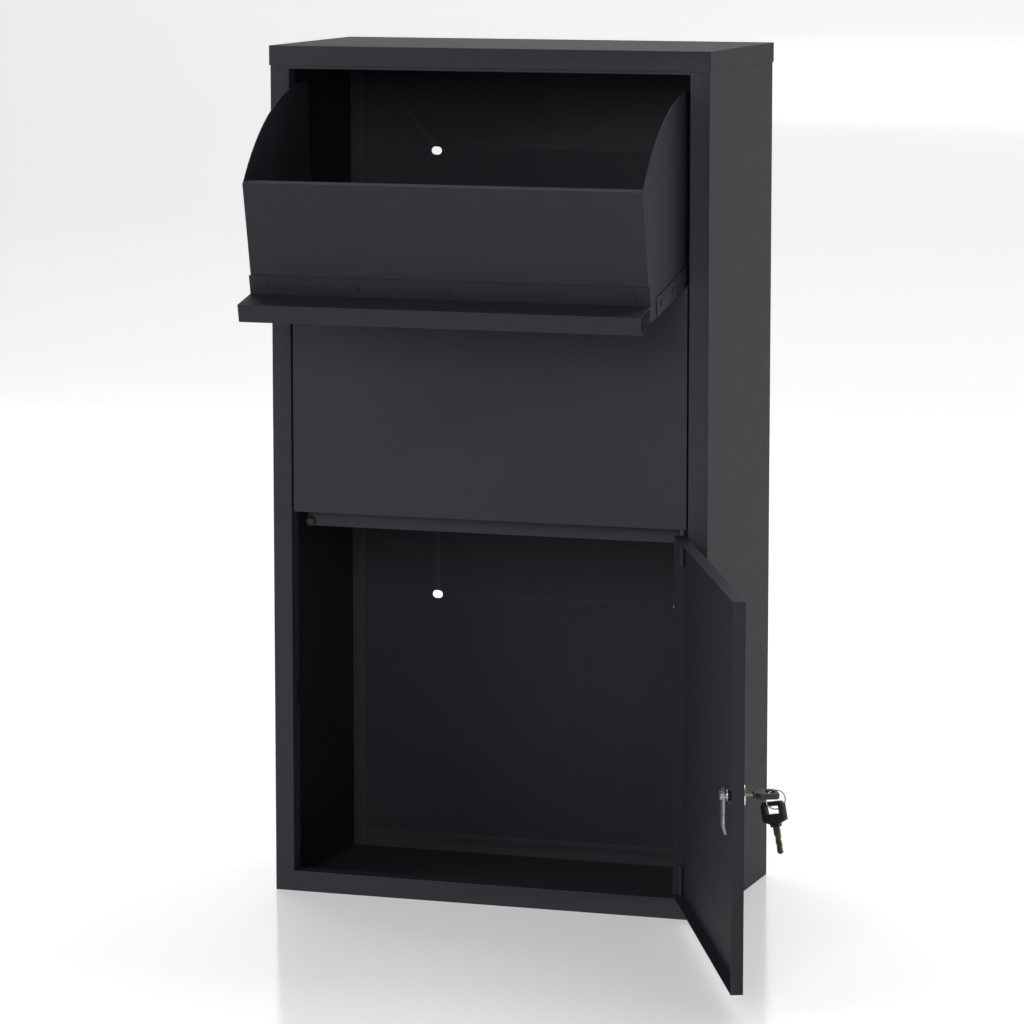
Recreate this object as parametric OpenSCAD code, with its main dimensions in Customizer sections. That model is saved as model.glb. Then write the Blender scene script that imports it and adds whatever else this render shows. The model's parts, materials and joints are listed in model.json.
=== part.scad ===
// Parcel drop box: a tall sheet steel cabinet with a tilting drop hopper at the top,
// a fixed front panel below it, and a lockable, side-hinged collection door.
// Frame: X to the right, Y to the rear, Z up. The origin is the centre of the base.
// The hopper and the door are drawn shut in their own modules and then swung open.

/* [Cabinet] */
// Overall width across the lid
cabinet_w = 440; // [400:1:520]
// Overall depth across the lid
cabinet_d = 220; // [200:1:300]
// Overall height
cabinet_h = 825; // [780:1:900]
// Thickness of every folded sheet
sheet = 1; // [0.8:0.1:1.2]
// Width of the two front stiles
stile_w = 19; // [15:1:25]
// Depth of the folded returns behind the front frame
return_d = 18; // [14:1:20]
// Height of the skirt round the lid
lid_skirt = 19; // [12:1:25]
// Height of the rail below the door
base_rail_h = 20; // [15:1:30]

/* [Front openings] */
// Height of the lower edge of the fixed middle panel
panel_bottom = 375.5; // [340:0.5:400]
// Height of the upper edge of the fixed middle panel
panel_top = 604; // [595:1:610]
// Height of the lower edge of the top rail
top_rail_z = 803; // [800:1:806]

/* [Hopper] */
// Width of the hopper across its front sheet
hopper_w = 390; // [340:1:392]
// Height of the hopper's front lip when it stands open
hopper_lip = 125; // [100:1:125]
// Angle that the hopper turns from shut to open
hopper_open = 102.5; // [100:0.5:105]
// Height of the finger recess above the hopper's front
grip_h = 35; // [30:1:38]

/* [Door] */
// Width of the door
door_w = 394; // [380:1:394]
// Height of the door
door_h = 347; // [330:1:348]
// Depth of the door's folded edges
door_d = 11; // [10:1:14]
// Angle that the door stands open
door_open = 114; // [90:1:118]

/* [Lock and keys] */
// Height of the lock above the base
lock_z = 195; // [120:5:250]
// Distance of the lock from the free edge of the door
lock_inset = 24; // [22:1:30]
// Length of the cam from the lock's axis
cam_l = 34; // [32:1:36]
// Length of a key's moulded bow
bow_l = 22.5; // [21:0.5:26]
// Width of a key's moulded bow
bow_w = 24; // [22:1:26]

/* [Hidden] */
$fn = 64;

// Cabinet planes
half_w = cabinet_w / 2 - sheet;
half_d = cabinet_d / 2 - sheet;
under_lid = cabinet_h - sheet;
frame_x = half_w - stile_w;
return_y = -half_d + return_d;
rear_flange = 15;
wall_hole_x = 127;
wall_hole_low = 265;
wall_hole_high = 713;
wall_slot_w = 11;
wall_slot_h = 8;
rivet_step = 100;
rivet_z = 12;
rivet_r = 1.6;

// Middle panel, set 2 mm inside the stiles
panel_x = frame_x - 2;
panel_y = -half_d + 0.5;
stop_strip_x = 190;
stop_strip_drop = 15.5;
bumper_x = -187;
bumper_r = 5;

// Hopper: its front plane when shut, its pivot, and its edges when shut
hopper_x = hopper_w / 2;
hopper_y = -half_d + sheet;
pivot_back = 20;
pivot_y = hopper_y + pivot_back;
pivot_z = panel_top + 1 + pivot_back * tan(hopper_open / 2);
hopper_bottom = panel_top + 2;
grip_top = top_rail_z - 2;
hopper_top = grip_top - grip_h;
lip_end_y = hopper_y + hopper_lip;
lip_return = 9;
side_arc_r = 204;
side_arc_y = pivot_y - 45.8;
side_arc_z = pivot_z - 3.2;
side_arc_start = 43;
side_arc_end = -12.5;
side_flange_gap = 20;
shelf_y = return_y - sheet;
pivot_r = 3;
run_fit = 0.05;
bush_r = 4;
bush_collar_r = 6;
bracket_x = frame_x + sheet;
bracket_t = 2;
stop_y = -20;
stop_z = pivot_z - 41.2;
stop_sleeve_r = 5;
stop_stud_r = 2.5;

// Door: its hinge axis and its front plane when shut
door_x = door_w / 2;
door_y = -half_d + 0.5;
door_z = base_rail_h + 2;
door_top = door_z + door_h;
hinge_inset = 3.5;
hinge_x = door_x - hinge_inset;
hinge_y = door_y + hinge_inset;
hinge_pin_r = 1.5;
barrel_r = 2.5;
barrel_l = 28;

// Lock, drawn on the shut door with its axis along Y
lock_x = -door_x + lock_inset;
bezel_r = 11;
bezel_t = 1.4;
collar_r = 9.5;
collar_t = 2;
housing_r = 8;
housing_back = 12.5;
plug_r = 5.5;
cam_y = door_y + 14.5;
cam_t = 2;
cam_w = 14;
cam_bend = 2;
cam_slot_h = 22;

// Keys: the bow lies flat, with its length along Y and its width along X
keyway_w = 7;
keyway_h = 2;
blade_w = 6.6;
blade_t = 1.6;
blade_tip = 3;
cuts_from = 9;
cut_pitch = 2.4;
blade_shown = 7.5;
blade_in = 13;
bow_t = 5;
bow_bar = 4;
slot_w = 7;
slot_l = 13;
plug_face = door_y - bezel_t - collar_t + 0.3;
bow_y = plug_face - blade_shown;
bar_y = bow_y - bow_l + bow_bar / 2;
ring_r = 8.5;
wire_r = 0.6;
ring_drop = 4.9;
ring_low = lock_z - ring_drop - ring_r;
spare_turn = 48;
spare_lean = 12;
spare_shift = 2.4;
spare_gap = 2.5;
spare_blade_l = 24;

body_colour = "#2c3034";
steel_colour = "#b9bdc1";
rubber_colour = "#17181a";
nylon_colour = "#26272a";
brass_colour = "#8d7440";

// Swings the shut hopper to its open position
module hopper_at_rest() {
    translate([0, pivot_y, pivot_z])
        rotate([hopper_open, 0, 0])
            translate([0, -pivot_y, -pivot_z])
                children();
}

// Swings the shut door to its open position
module door_at_rest() {
    translate([hinge_x, hinge_y, 0])
        rotate([0, 0, door_open])
            translate([-hinge_x, -hinge_y, 0])
                children();
}

// A box between two corners
module block(low, high) {
    translate(low)
        cube(high - low);
}

// A profile drawn in Y and Z, run along X from x0 to x1
module across(x0, x1) {
    translate([x0, 0, 0])
        rotate([90, 0, 90])
            linear_extrude(x1 - x0)
                children();
}

// A cylinder along X
module rod_x(x0, x1, y, z, r) {
    translate([x0, y, z])
        rotate([0, 90, 0])
            cylinder(h = x1 - x0, r = r);
}

// A cylinder along Y
module rod_y(x, y0, y1, z, r) {
    translate([x, y0, z])
        rotate([-90, 0, 0])
            cylinder(h = y1 - y0, r = r);
}

// Both hands of a piece that is drawn for the right side
module both_sides() {
    children();
    mirror([1, 0, 0])
        children();
}

// Side sheet with its front stile, its return and its rear flange
module side_panel() {
    block([half_w - sheet, -half_d, 0], [half_w, half_d - sheet, under_lid]);
    block([frame_x, -half_d, 0], [half_w, -half_d + sheet, under_lid]);
    block([frame_x, -half_d, sheet], [frame_x + sheet, return_y, under_lid]);
    block([half_w - rear_flange, half_d - 2 * sheet, sheet], [half_w, half_d - sheet, under_lid]);
}

module right_side_panel() {
    color(body_colour)
        side_panel();
}

// The left return is cut away where the cam passes behind it
module left_side_panel() {
    cam_slot_y = cam_y - cam_bend - 1.5;
    color(body_colour)
        difference() {
            mirror([1, 0, 0])
                side_panel();
            block([-frame_x - sheet - 1, cam_slot_y, lock_z - cam_slot_h / 2],
                [-frame_x + 1, return_y + 1, lock_z + cam_slot_h / 2]);
        }
}

// Cutter for a wall screw's slot through the back sheet, longer across than it is high
module wall_slot(x, z) {
    end_r = wall_slot_h / 2;
    end_x = (wall_slot_w - wall_slot_h) / 2;
    for (side = [-1, 1])
        rod_y(x + side * end_x, half_d - 2 * sheet, half_d + sheet, z, end_r);
    block([x - end_x, half_d - 2 * sheet, z - end_r], [x + end_x, half_d + sheet, z + end_r]);
}

module back_panel() {
    color(body_colour)
        difference() {
            block([-half_w, half_d - sheet, 0], [half_w, half_d, under_lid]);
            for (x = [-wall_hole_x, wall_hole_x], z = [wall_hole_low, wall_hole_high])
                wall_slot(x, z);
            for (side = [-1:1])
                rod_y(side * rivet_step, half_d - 2 * sheet, half_d + sheet, rivet_z, rivet_r);
        }
}

module lid() {
    lid_x = cabinet_w / 2;
    lid_y = cabinet_d / 2;
    color(body_colour)
        difference() {
            block([-lid_x, -lid_y, cabinet_h - lid_skirt], [lid_x, lid_y, cabinet_h]);
            block([-half_w, -half_d, cabinet_h - lid_skirt - 1], [half_w, half_d, under_lid]);
        }
}

// Floor with the rail below the door, and a rear upstand riveted to the back
module base_tray() {
    upstand_h = 20;
    upstand_x = half_w - rear_flange - 1;
    color(body_colour)
        difference() {
            union() {
                block([-half_w + sheet, -half_d + sheet, 0], [half_w - sheet, half_d - sheet, sheet]);
                block([-frame_x, -half_d, 0], [frame_x, -half_d + sheet, base_rail_h]);
                block([-frame_x, -half_d, base_rail_h - sheet], [frame_x, return_y, base_rail_h]);
                block([-upstand_x, half_d - 2 * sheet, 0], [upstand_x, half_d - sheet, upstand_h]);
            }
            for (side = [-1:1])
                rod_y(side * rivet_step, half_d - 3 * sheet, half_d, rivet_z, rivet_r);
            translate([hinge_x, hinge_y, base_rail_h - 2 * sheet])
                cylinder(h = 3 * sheet, r = hinge_pin_r);
        }
}

// Rivets with low domed heads inside and flush tails in the back sheet
module base_rivets() {
    head_r = 3;
    head_t = 1;
    color(body_colour)
        for (side = [-1:1]) {
            rod_y(side * rivet_step, half_d - 2 * sheet, half_d, rivet_z, rivet_r);
            rod_y(side * rivet_step, half_d - 2 * sheet - head_t, half_d - 2 * sheet, rivet_z, head_r);
        }
}

// Rail behind the lid's front skirt, with a folded lower edge
module top_rail() {
    color(body_colour)
        across(-frame_x, frame_x) {
            translate([-half_d, top_rail_z])
                square([sheet, under_lid - top_rail_z]);
            translate([-half_d, top_rail_z])
                square([return_d - sheet, sheet]);
        }
}

// Fixed front panel: hemmed top edge, flanged sides, and a strip the door shuts against
module middle_panel() {
    hem_h = 18;
    strip_y = return_y;
    tab_x = half_w - 4;
    color(body_colour)
        difference() {
            union() {
                block([-panel_x, panel_y, panel_bottom], [panel_x, panel_y + sheet, panel_top]);
                block([-panel_x, panel_y + sheet, panel_top - sheet - hem_h],
                    [panel_x, panel_y + 2 * sheet, panel_top - sheet]);
                block([-panel_x, panel_y, panel_bottom], [panel_x, strip_y + sheet, panel_bottom + sheet]);
                block([-stop_strip_x, strip_y, panel_bottom - stop_strip_drop],
                    [stop_strip_x, strip_y + sheet, panel_bottom + sheet]);
                both_sides() {
                    block([panel_x - sheet, panel_y, panel_bottom], [panel_x, strip_y + sheet, panel_top]);
                    block([panel_x - sheet, strip_y, panel_bottom], [tab_x, strip_y + sheet, panel_top]);
                }
            }
            translate([hinge_x, hinge_y, panel_bottom - sheet])
                cylinder(h = 3 * sheet, r = hinge_pin_r);
        }
}

// Soft stop for the door, near the top of its free edge
module door_bumper() {
    bumper_drop = 11.5;
    color(rubber_colour)
        translate([bumper_x, return_y, panel_bottom - bumper_drop])
            rotate([90, 0, 0])
                rotate_extrude()
                    intersection() {
                        circle(r = bumper_r);
                        square(bumper_r);
                    }
}

// Plate behind each stile that carries a hopper pivot
module pivot_bracket() {
    plate_front = -half_d + 1.5 * sheet;
    plate_back = pivot_y + 18;
    plate_half_h = 18;
    difference() {
        block([bracket_x, plate_front, pivot_z - plate_half_h],
            [bracket_x + bracket_t, plate_back, pivot_z + plate_half_h]);
        rod_x(bracket_x - 1, bracket_x + bracket_t + 1, pivot_y, pivot_z, pivot_r);
    }
}

module pivot_bracket_right() {
    color(body_colour)
        pivot_bracket();
}

module pivot_bracket_left() {
    color(body_colour)
        mirror([1, 0, 0])
            pivot_bracket();
}

// Headed pins that the hopper turns on, fixed in the brackets
module pivot_pins() {
    head_r = 5;
    head_x = hopper_x - 4;
    head_t = 2.5;
    pin_end = bracket_x + bracket_t + 5;
    color(steel_colour)
        both_sides() {
            rod_x(head_x, pin_end, pivot_y, pivot_z, pivot_r);
            rod_x(head_x, head_x + head_t, pivot_y, pivot_z, head_r);
        }
}

module pivot_nuts() {
    nut_r = 5.8;
    nut_t = 3;
    color(steel_colour)
        both_sides()
            difference() {
                translate([bracket_x + bracket_t, pivot_y, pivot_z])
                    rotate([0, 90, 0])
                        cylinder(h = nut_t, r = nut_r, $fn = 6);
                rod_x(bracket_x, bracket_x + bracket_t + nut_t + 1, pivot_y, pivot_z, pivot_r);
            }
}

// Flanged bushes pressed into the hopper's sides
module pivot_bushes() {
    collar_end = frame_x - 0.5;
    color(nylon_colour)
        hopper_at_rest()
            both_sides()
                difference() {
                    union() {
                        rod_x(hopper_x - sheet, hopper_x, pivot_y, pivot_z, bush_r);
                        rod_x(hopper_x, collar_end, pivot_y, pivot_z, bush_collar_r);
                    }
                    rod_x(hopper_x - 2, frame_x, pivot_y, pivot_z, pivot_r + run_fit);
                }
}

// Studs welded to the side sheets, that stop the hopper when it shuts
module stop_studs() {
    weld_t = 1.5;
    weld_r = 4;
    stud_x = frame_x - 10;
    color(steel_colour)
        both_sides() {
            rod_x(stud_x, half_w - sheet, stop_y, stop_z, stop_stud_r);
            rod_x(half_w - sheet - weld_t, half_w - sheet, stop_y, stop_z, weld_r);
        }
}

module stop_sleeves() {
    sleeve_x = frame_x - 10;
    sleeve_l = 12;
    color(rubber_colour)
        both_sides()
            difference() {
                rod_x(sleeve_x, sleeve_x + sleeve_l, stop_y, stop_z, stop_sleeve_r);
                rod_x(sleeve_x - 1, sleeve_x + sleeve_l + 1, stop_y, stop_z, stop_stud_r);
            }
}

// One pin hangs in the middle panel's lower edge, the other stands in the base rail
module door_hinge_pins() {
    head_r = 2.4;
    head_t = 2;
    pin_overlap = 3;
    upper_low = door_top - sheet - barrel_l + pin_overlap;
    lower_high = door_z + sheet + barrel_l - pin_overlap;
    color(steel_colour)
        translate([hinge_x, hinge_y, 0]) {
            translate([0, 0, upper_low])
                cylinder(h = panel_bottom + sheet - upper_low, r = hinge_pin_r);
            translate([0, 0, panel_bottom + sheet])
                cylinder(h = head_t, r = head_r);
            translate([0, 0, base_rail_h - sheet])
                cylinder(h = lower_high - base_rail_h + sheet, r = hinge_pin_r);
            translate([0, 0, base_rail_h - sheet - head_t])
                cylinder(h = head_t, r = head_r);
        }
}

// The lower washer carries the door; the upper spacer keeps it from lifting off
module door_hinge_washers() {
    washer_r = 2.8;
    lift_gap = 0.1;
    color(nylon_colour)
        translate([hinge_x, hinge_y, 0])
            difference() {
                union() {
                    translate([0, 0, base_rail_h])
                        cylinder(h = door_z - base_rail_h - lift_gap, r = washer_r);
                    translate([0, 0, door_top + lift_gap])
                        cylinder(h = panel_bottom - door_top - lift_gap, r = washer_r);
                }
                translate([0, 0, base_rail_h - 1])
                    cylinder(h = panel_bottom - base_rail_h + 2, r = hinge_pin_r);
            }
}

// Bottom, front lip and return of the hopper, folded from one sheet
module hopper_tray() {
    flange_low = hopper_bottom + 36;
    flange_high = hopper_top - side_flange_gap;
    color(body_colour)
        hopper_at_rest() {
            difference() {
                union() {
                    block([-hopper_x, hopper_y, hopper_bottom], [hopper_x, hopper_y + sheet, hopper_top]);
                    block([-hopper_x, hopper_y, hopper_top - sheet], [hopper_x, lip_end_y, hopper_top]);
                    block([-hopper_x + sheet, lip_end_y - sheet, hopper_top - lip_return],
                        [hopper_x - sheet, lip_end_y, hopper_top]);
                    both_sides()
                        tray_flange(flange_low, flange_high);
                }
                both_sides()
                    side_rivets(rivet_r, hopper_x - 1, hopper_x + 2);
            }
        }
}

// Flange of the tray that laps the outside of a hopper side
module tray_flange(low, high) {
    block([hopper_x, hopper_y, low], [hopper_x + sheet, return_y + sheet, high]);
    block([hopper_x - sheet, hopper_y, low], [hopper_x + sheet, hopper_y + sheet, high]);
}

// Side plate of the hopper, with its curved rear edge and its pivot hole
module hopper_side() {
    arc_steps = 28;
    arc_turn = side_arc_end - side_arc_start;
    front_y = hopper_y + sheet;
    top_z = hopper_top - sheet;
    rear_edge = [for (i = [0:arc_steps])
        let (a = side_arc_start + arc_turn * i / arc_steps)
        [side_arc_y + side_arc_r * cos(a), side_arc_z + side_arc_r * sin(a)]];
    difference() {
        across(hopper_x - sheet, hopper_x)
            intersection() {
                polygon(concat([[front_y, hopper_bottom], [front_y, top_z + 3]], rear_edge));
                translate([front_y, 0])
                    square([half_w, top_z]);
            }
        rod_x(hopper_x - 2 * sheet, hopper_x + sheet, pivot_y, pivot_z, bush_r);
        side_rivets(rivet_r, hopper_x - 2, hopper_x + 1);
    }
}

module hopper_side_right() {
    color(body_colour)
        hopper_at_rest()
            hopper_side();
}

module hopper_side_left() {
    color(body_colour)
        hopper_at_rest()
            mirror([1, 0, 0])
                hopper_side();
}

// Shanks or holes of the three rivets in a right-hand side flange
module side_rivets(r, x0, x1) {
    rivet_y = hopper_y + 9;
    first_z = hopper_bottom + 50;
    pitch = 38;
    for (i = [0:2])
        rod_x(x0, x1, rivet_y, first_z + pitch * i, r);
}

module hopper_side_rivets() {
    head_r = 3;
    head_t = 0.8;
    color(body_colour)
        hopper_at_rest()
            both_sides() {
                side_rivets(rivet_r, hopper_x - sheet - head_t, hopper_x + sheet + head_t);
                side_rivets(head_r, hopper_x - sheet - head_t, hopper_x - sheet);
                side_rivets(head_r, hopper_x + sheet, hopper_x + sheet + head_t);
            }
}

// Open channel along the hopper's top edge that fingers hook behind
module grip_rail() {
    foot_back = hopper_y + 35;
    nose_low = grip_top - 10;
    grip_x = hopper_x + 1.5;
    color(body_colour)
        hopper_at_rest()
            difference() {
                across(-grip_x, grip_x) {
                    translate([shelf_y, hopper_top])
                        square([foot_back - shelf_y, sheet]);
                    translate([shelf_y, hopper_top])
                        square([sheet, grip_h]);
                    translate([hopper_y, grip_top - sheet])
                        square([shelf_y + sheet - hopper_y, sheet]);
                    translate([hopper_y, nose_low])
                        square([sheet, grip_top - nose_low]);
                }
                grip_rivets(rivet_r, hopper_top - 1, hopper_top + 2);
            }
}

// Shanks or heads of the five rivets in the grip rail's foot
module grip_rivets(r, z0, z1) {
    rivet_y = hopper_y + 26;
    pitch = 90;
    for (i = [-2:2])
        translate([pitch * i, rivet_y, z0])
            cylinder(h = z1 - z0, r = r);
}

module grip_rail_rivets() {
    head_r = 3.2;
    head_t = 0.9;
    color(body_colour)
        hopper_at_rest() {
            grip_rivets(rivet_r, hopper_top, hopper_top + sheet + head_t);
            grip_rivets(head_r, hopper_top + sheet, hopper_top + sheet + head_t);
        }
}

// Shallow pan with all four edges folded back
module door_panel() {
    color(body_colour)
        door_at_rest()
            difference() {
                block([-door_x, door_y, door_z], [door_x, door_y + door_d, door_top]);
                block([-door_x + sheet, door_y + sheet, door_z + sheet],
                    [door_x - sheet, door_y + door_d + 1, door_top - sheet]);
                translate([hinge_x, hinge_y, door_z - 1])
                    cylinder(h = door_h + 2, r = hinge_pin_r + run_fit);
                rod_y(lock_x, door_y - 1, door_y + 2 * sheet, lock_z, housing_r);
            }
}

// Tube for a hinge pin, with a web that fills the corner of the pan
module hinge_barrel(low) {
    color(body_colour)
        door_at_rest()
            difference() {
                union() {
                    translate([hinge_x, hinge_y, low])
                        cylinder(h = barrel_l, r = barrel_r);
                    block([hinge_x, door_y + sheet, low], [door_x - sheet, hinge_y, low + barrel_l]);
                }
                translate([hinge_x, hinge_y, low - 1])
                    cylinder(h = barrel_l + 2, r = hinge_pin_r + run_fit);
            }
}

module door_hinge_barrel_upper() {
    hinge_barrel(door_top - sheet - barrel_l);
}

module door_hinge_barrel_lower() {
    hinge_barrel(door_z + sheet);
}

// Bezel, collar and body of the cam lock
module lock_housing() {
    color(steel_colour)
        door_at_rest()
            difference() {
                union() {
                    rod_y(lock_x, door_y - bezel_t, door_y, lock_z, bezel_r);
                    rod_y(lock_x, door_y - bezel_t - collar_t, door_y - bezel_t, lock_z, collar_r);
                    rod_y(lock_x, door_y, door_y + housing_back, lock_z, housing_r);
                }
                rod_y(lock_x, door_y - 5, door_y + housing_back + 1, lock_z, plug_r + run_fit);
            }
}

module lock_nut() {
    nut_r = 10.9;
    nut_t = 4;
    color(steel_colour)
        door_at_rest()
            difference() {
                translate([lock_x, door_y + sheet, lock_z])
                    rotate([-90, 0, 0])
                        cylinder(h = nut_t, r = nut_r, $fn = 6);
                rod_y(lock_x, door_y, door_y + nut_t + 2, lock_z, housing_r);
            }
}

// Turning core of the lock, with its keyway lying flat
module lock_plug() {
    screw_r = 2;
    screw_in = 3.5;
    color(steel_colour)
        door_at_rest()
            difference() {
                rod_y(lock_x, plug_face, cam_y, lock_z, plug_r);
                block([lock_x - keyway_w / 2, plug_face - 1, lock_z - keyway_h / 2],
                    [lock_x + keyway_w / 2, plug_face + blade_in + 0.5, lock_z + keyway_h / 2]);
                rod_y(lock_x, cam_y - screw_in, cam_y + 1, lock_z, screw_r);
            }
}

// Cam hanging down from the plug, with its tip joggled towards the door
module lock_cam() {
    tip_l = 6;
    screw_r = 2;
    tip_z = lock_z - cam_l;
    color(steel_colour)
        door_at_rest()
            difference() {
                union() {
                    rod_y(lock_x, cam_y, cam_y + cam_t, lock_z, cam_w / 2);
                    block([lock_x - cam_w / 2, cam_y, tip_z + tip_l],
                        [lock_x + cam_w / 2, cam_y + cam_t, lock_z]);
                    across(lock_x - cam_w / 2, lock_x + cam_w / 2)
                        polygon([[cam_y, tip_z + tip_l + 2], [cam_y + cam_t, tip_z + tip_l + 2],
                            [cam_y + cam_t - cam_bend, tip_z], [cam_y - cam_bend, tip_z]]);
                }
                rod_y(lock_x, cam_y - 1, cam_y + cam_t + 1, lock_z, screw_r);
            }
}

module cam_screw() {
    screw_r = 2;
    screw_in = 3.5;
    head_r = 4.2;
    head_t = 1.9;
    driver_w = 1;
    color(steel_colour)
        door_at_rest()
            difference() {
                union() {
                    rod_y(lock_x, cam_y - screw_in + 0.5, cam_y + cam_t, lock_z, screw_r);
                    rod_y(lock_x, cam_y + cam_t, cam_y + cam_t + head_t, lock_z, head_r);
                }
                block([lock_x - head_r, cam_y + cam_t + head_t - driver_w, lock_z - driver_w / 2],
                    [lock_x + head_r, cam_y + cam_t + head_t + 1, lock_z + driver_w / 2]);
                block([lock_x - driver_w / 2, cam_y + cam_t + head_t - driver_w, lock_z - head_r],
                    [lock_x + driver_w / 2, cam_y + cam_t + head_t + 1, lock_z + head_r]);
            }
}

// Flat outline of a bow: its blade end at the origin and its length along -Y
module bow_outline() {
    corner = 3;
    neck_w = 9.5;
    neck_l = 2.5;
    shoulder = 5.5;
    difference() {
        polygon([[-neck_w / 2, -neck_l], [-neck_w / 2, 0], [neck_w / 2, 0], [neck_w / 2, -neck_l],
            [bow_w / 2, -shoulder],
            [bow_w / 2, -bow_l + corner], [bow_w / 2 - corner, -bow_l],
            [-bow_w / 2 + corner, -bow_l], [-bow_w / 2, -bow_l + corner], [-bow_w / 2, -shoulder]]);
        translate([-slot_l / 2, -bow_l + bow_bar])
            square([slot_l, slot_w]);
    }
}

// A bow of full thickness, lying flat
module bow_solid() {
    translate([0, 0, -bow_t / 2])
        linear_extrude(bow_t)
            bow_outline();
}

// How far each cut goes into a blade's edge; the depths repeat in threes
function cut_depth(i) = 0.5 + 0.45 * ((2 * i) % 3);

// One edge of a blade from its shoulder to its tip, with a row of cuts
function blade_edge(length, first) = concat(
    [[blade_w / 2, 0], [blade_w / 2, cuts_from - cut_pitch / 2]],
    [for (i = [0:floor((length - cuts_from - blade_tip) / cut_pitch)], peak = [0, 1])
        [blade_w / 2 - (peak == 1 ? 0.2 : cut_depth(i + first)), cuts_from + cut_pitch * (i + peak / 2)]],
    [[blade_w / 2 - 0.5, length - blade_tip / 2], [blade_w / 5, length]]);

// A blade lying flat, from the bow at the origin towards +Y, with cuts down both edges
module blade_solid(length) {
    right_edge = blade_edge(length, 0);
    left_edge = blade_edge(length, 1);
    last = len(left_edge) - 1;
    translate([0, 0, -blade_t / 2])
        linear_extrude(blade_t)
            polygon(concat(right_edge, [for (i = [last:-1:0]) [-left_edge[i][0], left_edge[i][1]]]));
}

module key_bow() {
    color(rubber_colour)
        door_at_rest()
            translate([lock_x, bow_y, lock_z])
                bow_solid();
}

module key_blade() {
    color(steel_colour)
        door_at_rest()
            translate([lock_x, bow_y, lock_z])
                blade_solid(blade_shown + blade_in);
}

// Split ring looped round the end bar of the key in the lock
module key_ring() {
    color(steel_colour)
        door_at_rest()
            translate([lock_x, bar_y, lock_z - ring_drop])
                rotate([0, 90, 0])
                    rotate_extrude()
                        translate([ring_r, 0])
                            circle(r = wire_r, $fn = 16);
}

// Hangs a key, drawn flat, by its slot from the lowest point of the ring
module spare_at_rest() {
    door_at_rest()
        translate([lock_x, bar_y, ring_low])
            rotate([0, 0, spare_turn])
                rotate([0, spare_lean, 0])
                    rotate([90, 0, 0])
                        rotate([0, 0, 180])
                            translate([-spare_shift, bow_l - bow_bar - wire_r - spare_gap, 0])
                                children();
}

module spare_key_bow() {
    color(rubber_colour)
        spare_at_rest()
            bow_solid();
}

module spare_key_blade() {
    color(brass_colour)
        spare_at_rest()
            blade_solid(spare_blade_l);
}

left_side_panel();
right_side_panel();
back_panel();
lid();
base_tray();
top_rail();
middle_panel();
pivot_bracket_left();
pivot_bracket_right();
pivot_pins();
pivot_nuts();
pivot_bushes();
stop_studs();
stop_sleeves();
door_hinge_pins();
door_hinge_washers();
door_bumper();
base_rivets();
hopper_tray();
hopper_side_left();
hopper_side_right();
grip_rail();
grip_rail_rivets();
hopper_side_rivets();
door_panel();
door_hinge_barrel_upper();
door_hinge_barrel_lower();
lock_housing();
lock_nut();
lock_plug();
lock_cam();
cam_screw();
key_blade();
key_bow();
key_ring();
spare_key_blade();
spare_key_bow();
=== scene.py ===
"""Looks, light and camera for the parcel drop box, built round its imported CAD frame."""
import json
import math

import bpy
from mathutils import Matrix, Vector

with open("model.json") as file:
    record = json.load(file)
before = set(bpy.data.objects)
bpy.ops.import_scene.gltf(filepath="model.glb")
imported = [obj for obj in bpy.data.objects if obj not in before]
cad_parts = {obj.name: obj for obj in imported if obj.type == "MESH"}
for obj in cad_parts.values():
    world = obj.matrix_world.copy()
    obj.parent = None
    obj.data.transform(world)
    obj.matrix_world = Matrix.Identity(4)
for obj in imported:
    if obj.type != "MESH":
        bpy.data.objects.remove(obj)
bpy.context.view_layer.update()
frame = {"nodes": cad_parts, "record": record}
nodes = frame["nodes"]

# Sheet metal edges, in metres
FOLD_RADIUS = 0.00042
SMALL_RADIUS = 0.00018
MOULD_RADIUS = 0.0007
WELD_GAP = 0.000002
EDGE_ANGLE = math.radians(25)
FLAT_ANGLE = math.radians(0.5)

# Linear colours
ANTHRACITE = (0.0160, 0.0190, 0.0235)
ANTHRACITE_DARK = (0.0135, 0.0160, 0.0200)
WORN_EDGE = (0.036, 0.039, 0.042)

# Depths of surface relief, in metres
COAT_GRAIN_DEPTH = 0.00005
COAT_PEEL_DEPTH = 0.00006
POLISH_DEPTH = 0.00001
MOULD_GRAIN_DEPTH = 0.00003

# Camera and lights: the lights aim at the middle of the box's front
CAMERA_PLACE = (1.4294, -4.2907, 1.0131)
CAMERA_DOWN = 8.104
CAMERA_TURN = 18.563
CAMERA_LENS = 164.26
SENSOR_WIDTH = 36.0
VIEW_END = 60.0
LIGHT_TARGET = (0.05, -0.10, 0.42)
SKY_STRENGTH = 0.19
FLOOR_GLOW = 0.28


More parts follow.
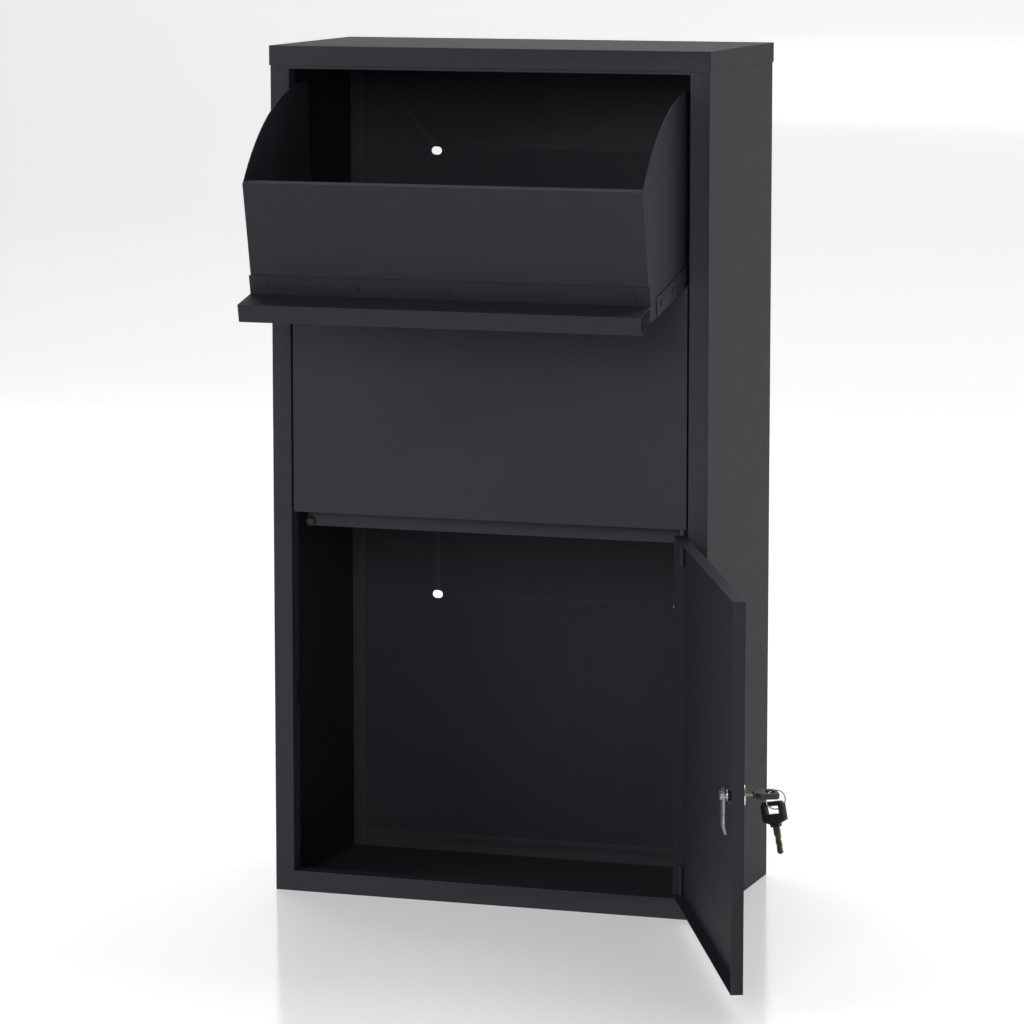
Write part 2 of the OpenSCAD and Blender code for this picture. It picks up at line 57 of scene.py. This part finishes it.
class Nodes:
    """A small helper that adds and links the nodes of one material."""

    def __init__(self, name):
        self.material = bpy.data.materials.new(name)
        self.material.use_nodes = True
        self.tree = self.material.node_tree
        self.shader = self.tree.nodes["Principled BSDF"]

    def add(self, kind, **settings):
        made = self.tree.nodes.new(kind)
        for key, value in settings.items():
            setattr(made, key, value)
        return made

    def link(self, source, target):
        self.tree.links.new(source, target)

    def place(self):
        """Object-space position, in metres, so that grain keeps its real size."""
        return self.add("ShaderNodeTexCoord").outputs["Object"]

    def noise(self, scale, detail=2.0, roughness=0.5, stretch=None):
        made = self.add("ShaderNodeTexNoise")
        made.inputs["Scale"].default_value = scale
        made.inputs["Detail"].default_value = detail
        made.inputs["Roughness"].default_value = roughness
        place = self.place()
        if stretch is not None:
            mapping = self.add("ShaderNodeMapping")
            mapping.inputs["Scale"].default_value = stretch
            self.link(place, mapping.inputs["Vector"])
            place = mapping.outputs["Vector"]
        self.link(place, made.inputs["Vector"])
        return made.outputs["Fac"]

    def remap(self, value, low, high, to_low, to_high):
        made = self.add("ShaderNodeMapRange")
        made.inputs["From Min"].default_value = low
        made.inputs["From Max"].default_value = high
        made.inputs["To Min"].default_value = to_low
        made.inputs["To Max"].default_value = to_high
        self.link(value, made.inputs["Value"])
        return made.outputs["Result"]

    def mix(self, factor, first, second):
        made = self.add("ShaderNodeMix", data_type="RGBA")
        self.link(factor, made.inputs["Factor"])
        for socket, colour in (("A", first), ("B", second)):
            target = [s for s in made.inputs if s.name == socket and s.type == "RGBA"][0]
            if isinstance(colour, tuple):
                target.default_value = (*colour, 1.0)
            else:
                self.link(colour, target)
        return [s for s in made.outputs if s.type == "RGBA"][0]

    def bump(self, height, distance, strength=1.0, below=None):
        made = self.add("ShaderNodeBump")
        made.inputs["Distance"].default_value = distance
        made.inputs["Strength"].default_value = strength
        self.link(height, made.inputs["Height"])
        if below is not None:
            self.link(below, made.inputs["Normal"])
        return made.outputs["Normal"]

    def edges(self, low, high):
        """0 on flat faces and 1 on rounded outer edges."""
        pointiness = self.add("ShaderNodeNewGeometry").outputs["Pointiness"]
        return self.remap(pointiness, low, high, 0.0, 1.0)

    def finish(self, colour, roughness, normal=None, metallic=0.0, **sockets):
        shader = self.shader.inputs
        for socket, value in (("Base Color", colour), ("Roughness", roughness)):
            if isinstance(value, (float, tuple)):
                full = (*value, 1.0) if isinstance(value, tuple) else value
                shader[socket].default_value = full
            else:
                self.link(value, shader[socket])
        shader["Metallic"].default_value = metallic
        for socket, value in sockets.items():
            shader[socket.replace("_", " ")].default_value = value
        if normal is not None:
            self.link(normal, shader["Normal"])
        return self.material


def powder_coat(name, light, dark):
    """Matt powder coat: orange peel, fine grain, faint shade changes and rubbed edges."""
    m = Nodes(name)
    broad = m.noise(5.0, 3.0)
    grain = m.noise(1500.0, 2.0, 0.6)
    peel = m.noise(420.0, 1.0)
    speck = m.remap(m.noise(2600.0, 0.0), 0.62, 0.75, 0.0, 0.35)
    base = m.mix(m.remap(broad, 0.3, 0.7, 0.35, 0.8), dark, light)
    flecked = m.mix(speck, base, WORN_EDGE)
    colour = m.mix(m.remap(m.edges(0.53, 0.62), 0.0, 1.0, 0.0, 0.45), flecked, WORN_EDGE)
    roughness = m.remap(m.noise(60.0, 4.0), 0.3, 0.7, 0.62, 0.66)
    normal = m.bump(grain, COAT_GRAIN_DEPTH, 0.55, m.bump(peel, COAT_PEEL_DEPTH, 0.4))
    return m.finish(colour, roughness, normal, Specular_IOR_Level=0.22)


def plated(name, light, dark, roughness_low, roughness_high, brushed=None):
    """Bright plated metal with fine polishing marks and slight tarnish."""
    m = Nodes(name)
    tone = m.remap(m.noise(160.0, 4.0), 0.35, 0.7, 0.0, 1.0)
    colour = m.mix(tone, light, dark)
    marks = m.noise(900.0, 3.0, 0.6, brushed)
    roughness = m.remap(marks, 0.3, 0.7, roughness_low, roughness_high)
    normal = m.bump(marks, POLISH_DEPTH, 0.5)
    return m.finish(colour, roughness, normal, metallic=1.0)


def plastic(name, light, dark, roughness_low, roughness_high, grain=1800.0):
    """Moulded plastic or rubber with a fine grain and faint changes of shade."""
    m = Nodes(name)
    tone = m.remap(m.noise(220.0, 3.0), 0.3, 0.7, 0.0, 1.0)
    colour = m.mix(tone, dark, light)
    roughness = m.remap(m.noise(500.0, 2.0), 0.3, 0.7, roughness_low, roughness_high)
    normal = m.bump(m.noise(grain, 2.0), MOULD_GRAIN_DEPTH, 0.5)
    return m.finish(colour, roughness, normal)


LOOKS = {
    "powder_coat": powder_coat("powder_coat", ANTHRACITE, ANTHRACITE_DARK),
    "zinc_steel": plated(
        "zinc_steel", (0.50, 0.52, 0.54), (0.34, 0.35, 0.36), 0.24, 0.42, (1, 1, 12)
    ),
    "chrome_lock": plated("chrome_lock", (0.72, 0.73, 0.74), (0.60, 0.61, 0.62), 0.07, 0.18),
    "rubber": plastic("rubber", (0.020, 0.020, 0.021), (0.011, 0.011, 0.012), 0.62, 0.82),
    "nylon": plastic("nylon", (0.020, 0.020, 0.021), (0.012, 0.012, 0.013), 0.38, 0.52),
    "key_plastic": plastic("key_plastic", (0.013, 0.012, 0.012), (0.007, 0.007, 0.007), 0.34, 0.50),
    "key_metal": plated("key_metal", (0.36, 0.30, 0.19), (0.20, 0.16, 0.10), 0.26, 0.44, (8, 1, 1)),
    "ring_steel": plated("ring_steel", (0.52, 0.53, 0.55), (0.36, 0.37, 0.38), 0.16, 0.30),
}
SLOT_OF = {row["node"]: row["material_slot"] for row in frame["record"]["subparts"]}


def round_edges(obj, radius, segments=3):
    """Joins the imported faces, clears edges inside flat ones, then rounds and shades the rest."""
    weld = obj.modifiers.new("join_faces", "WELD")
    weld.merge_threshold = WELD_GAP
    plain = obj.modifiers.new("plain_faces", "DECIMATE")
    plain.decimate_type = "DISSOLVE"
    plain.angle_limit = FLAT_ANGLE
    bevel = obj.modifiers.new("round_edges", "BEVEL")
    bevel.width = radius
    bevel.segments = segments
    bevel.limit_method = "ANGLE"
    bevel.angle_limit = EDGE_ANGLE
    bevel.use_clamp_overlap = True
    normals = obj.modifiers.new("flat_faces", "WEIGHTED_NORMAL")
    normals.weight = 100
    normals.keep_sharp = False


for name, obj in nodes.items():
    slot = SLOT_OF[name]
    obj.data.materials.clear()
    obj.data.materials.append(LOOKS[slot])
    if slot == "powder_coat":
        small = "rivets" in name or "barrel" in name
        round_edges(obj, SMALL_RADIUS if small else FOLD_RADIUS)
    elif slot == "key_plastic":
        round_edges(obj, MOULD_RADIUS, 4)
    elif name != "key_ring":
        round_edges(obj, SMALL_RADIUS)


def studio():
    """White glossy sweep, five soft area lights and a pale sky, with the camera."""
    scene = bpy.context.scene
    floor_back, bend, wall_top, half_wide, floor_front = 3.2, 1.2, 6.0, 9.0, -9.0
    steps = 16
    profile = [(floor_front, 0.0), (floor_back, 0.0)]
    for i in range(1, steps + 1):
        a = math.pi / 2 * i / steps
        profile.append((floor_back + bend * math.sin(a), bend * (1 - math.cos(a))))
    profile.append((floor_back + bend, wall_top))
    points = [(x, y, z) for x in (-half_wide, half_wide) for y, z in profile]
    count = len(profile)
    faces = [(i, i + 1, count + i + 1, count + i) for i in range(count - 1)]
    mesh = bpy.data.meshes.new("sweep")
    mesh.from_pydata(points, [], faces)
    mesh.shade_smooth()
    sweep = bpy.data.objects.new("sweep", mesh)
    scene.collection.objects.link(sweep)
    m = Nodes("sweep")
    roughness = m.remap(m.noise(3.0, 2.0), 0.3, 0.7, 0.10, 0.14)
    glow = {"Emission_Color": (1.0, 1.0, 1.0, 1.0), "Emission_Strength": FLOOR_GLOW}
    white = m.finish((0.92, 0.92, 0.92), roughness, Specular_IOR_Level=0.45, **glow)
    sweep.data.materials.append(white)

    world = bpy.data.worlds.new("studio")
    world.use_nodes = True
    sky = world.node_tree.nodes["Background"]
    sky.inputs["Color"].default_value = (0.96, 0.98, 1.0, 1.0)
    sky.inputs["Strength"].default_value = SKY_STRENGTH
    scene.world = world

    middle = Vector(LIGHT_TARGET)
    for name, place, size, power in (
        ("left_bank", (-2.6, -2.6, 1.9), (2.2, 2.6), 34.0),
        ("top_bank", (0.2, -0.6, 3.2), (3.0, 2.2), 7.0),
        ("right_fill", (3.2, -2.6, 1.4), (1.6, 2.4), 10.0),
        ("front_fill", (0.6, -4.4, 1.7), (1.4, 1.4), 62.0),
        ("sweep_light", (0.0, 1.8, 4.6), (5.0, 2.0), 112.0),
    ):
        light = bpy.data.lights.new(name, "AREA")
        light.shape = "RECTANGLE"
        light.size, light.size_y = size
        light.energy = power
        lamp = bpy.data.objects.new(name, light)
        lamp.location = place
        lamp.rotation_euler = (middle - Vector(place)).to_track_quat("-Z", "Y").to_euler()
        scene.collection.objects.link(lamp)

    lens = bpy.data.cameras.new("camera")
    lens.lens = CAMERA_LENS
    lens.sensor_width = SENSOR_WIDTH
    lens.clip_end = VIEW_END
    camera = bpy.data.objects.new("camera", lens)
    camera.location = CAMERA_PLACE
    camera.rotation_euler = (math.radians(90 - CAMERA_DOWN), 0.0, math.radians(CAMERA_TURN))
    scene.collection.objects.link(camera)
    scene.camera = camera
    scene.view_settings.view_transform = "Standard"
    scene.view_settings.look = "None"


studio()
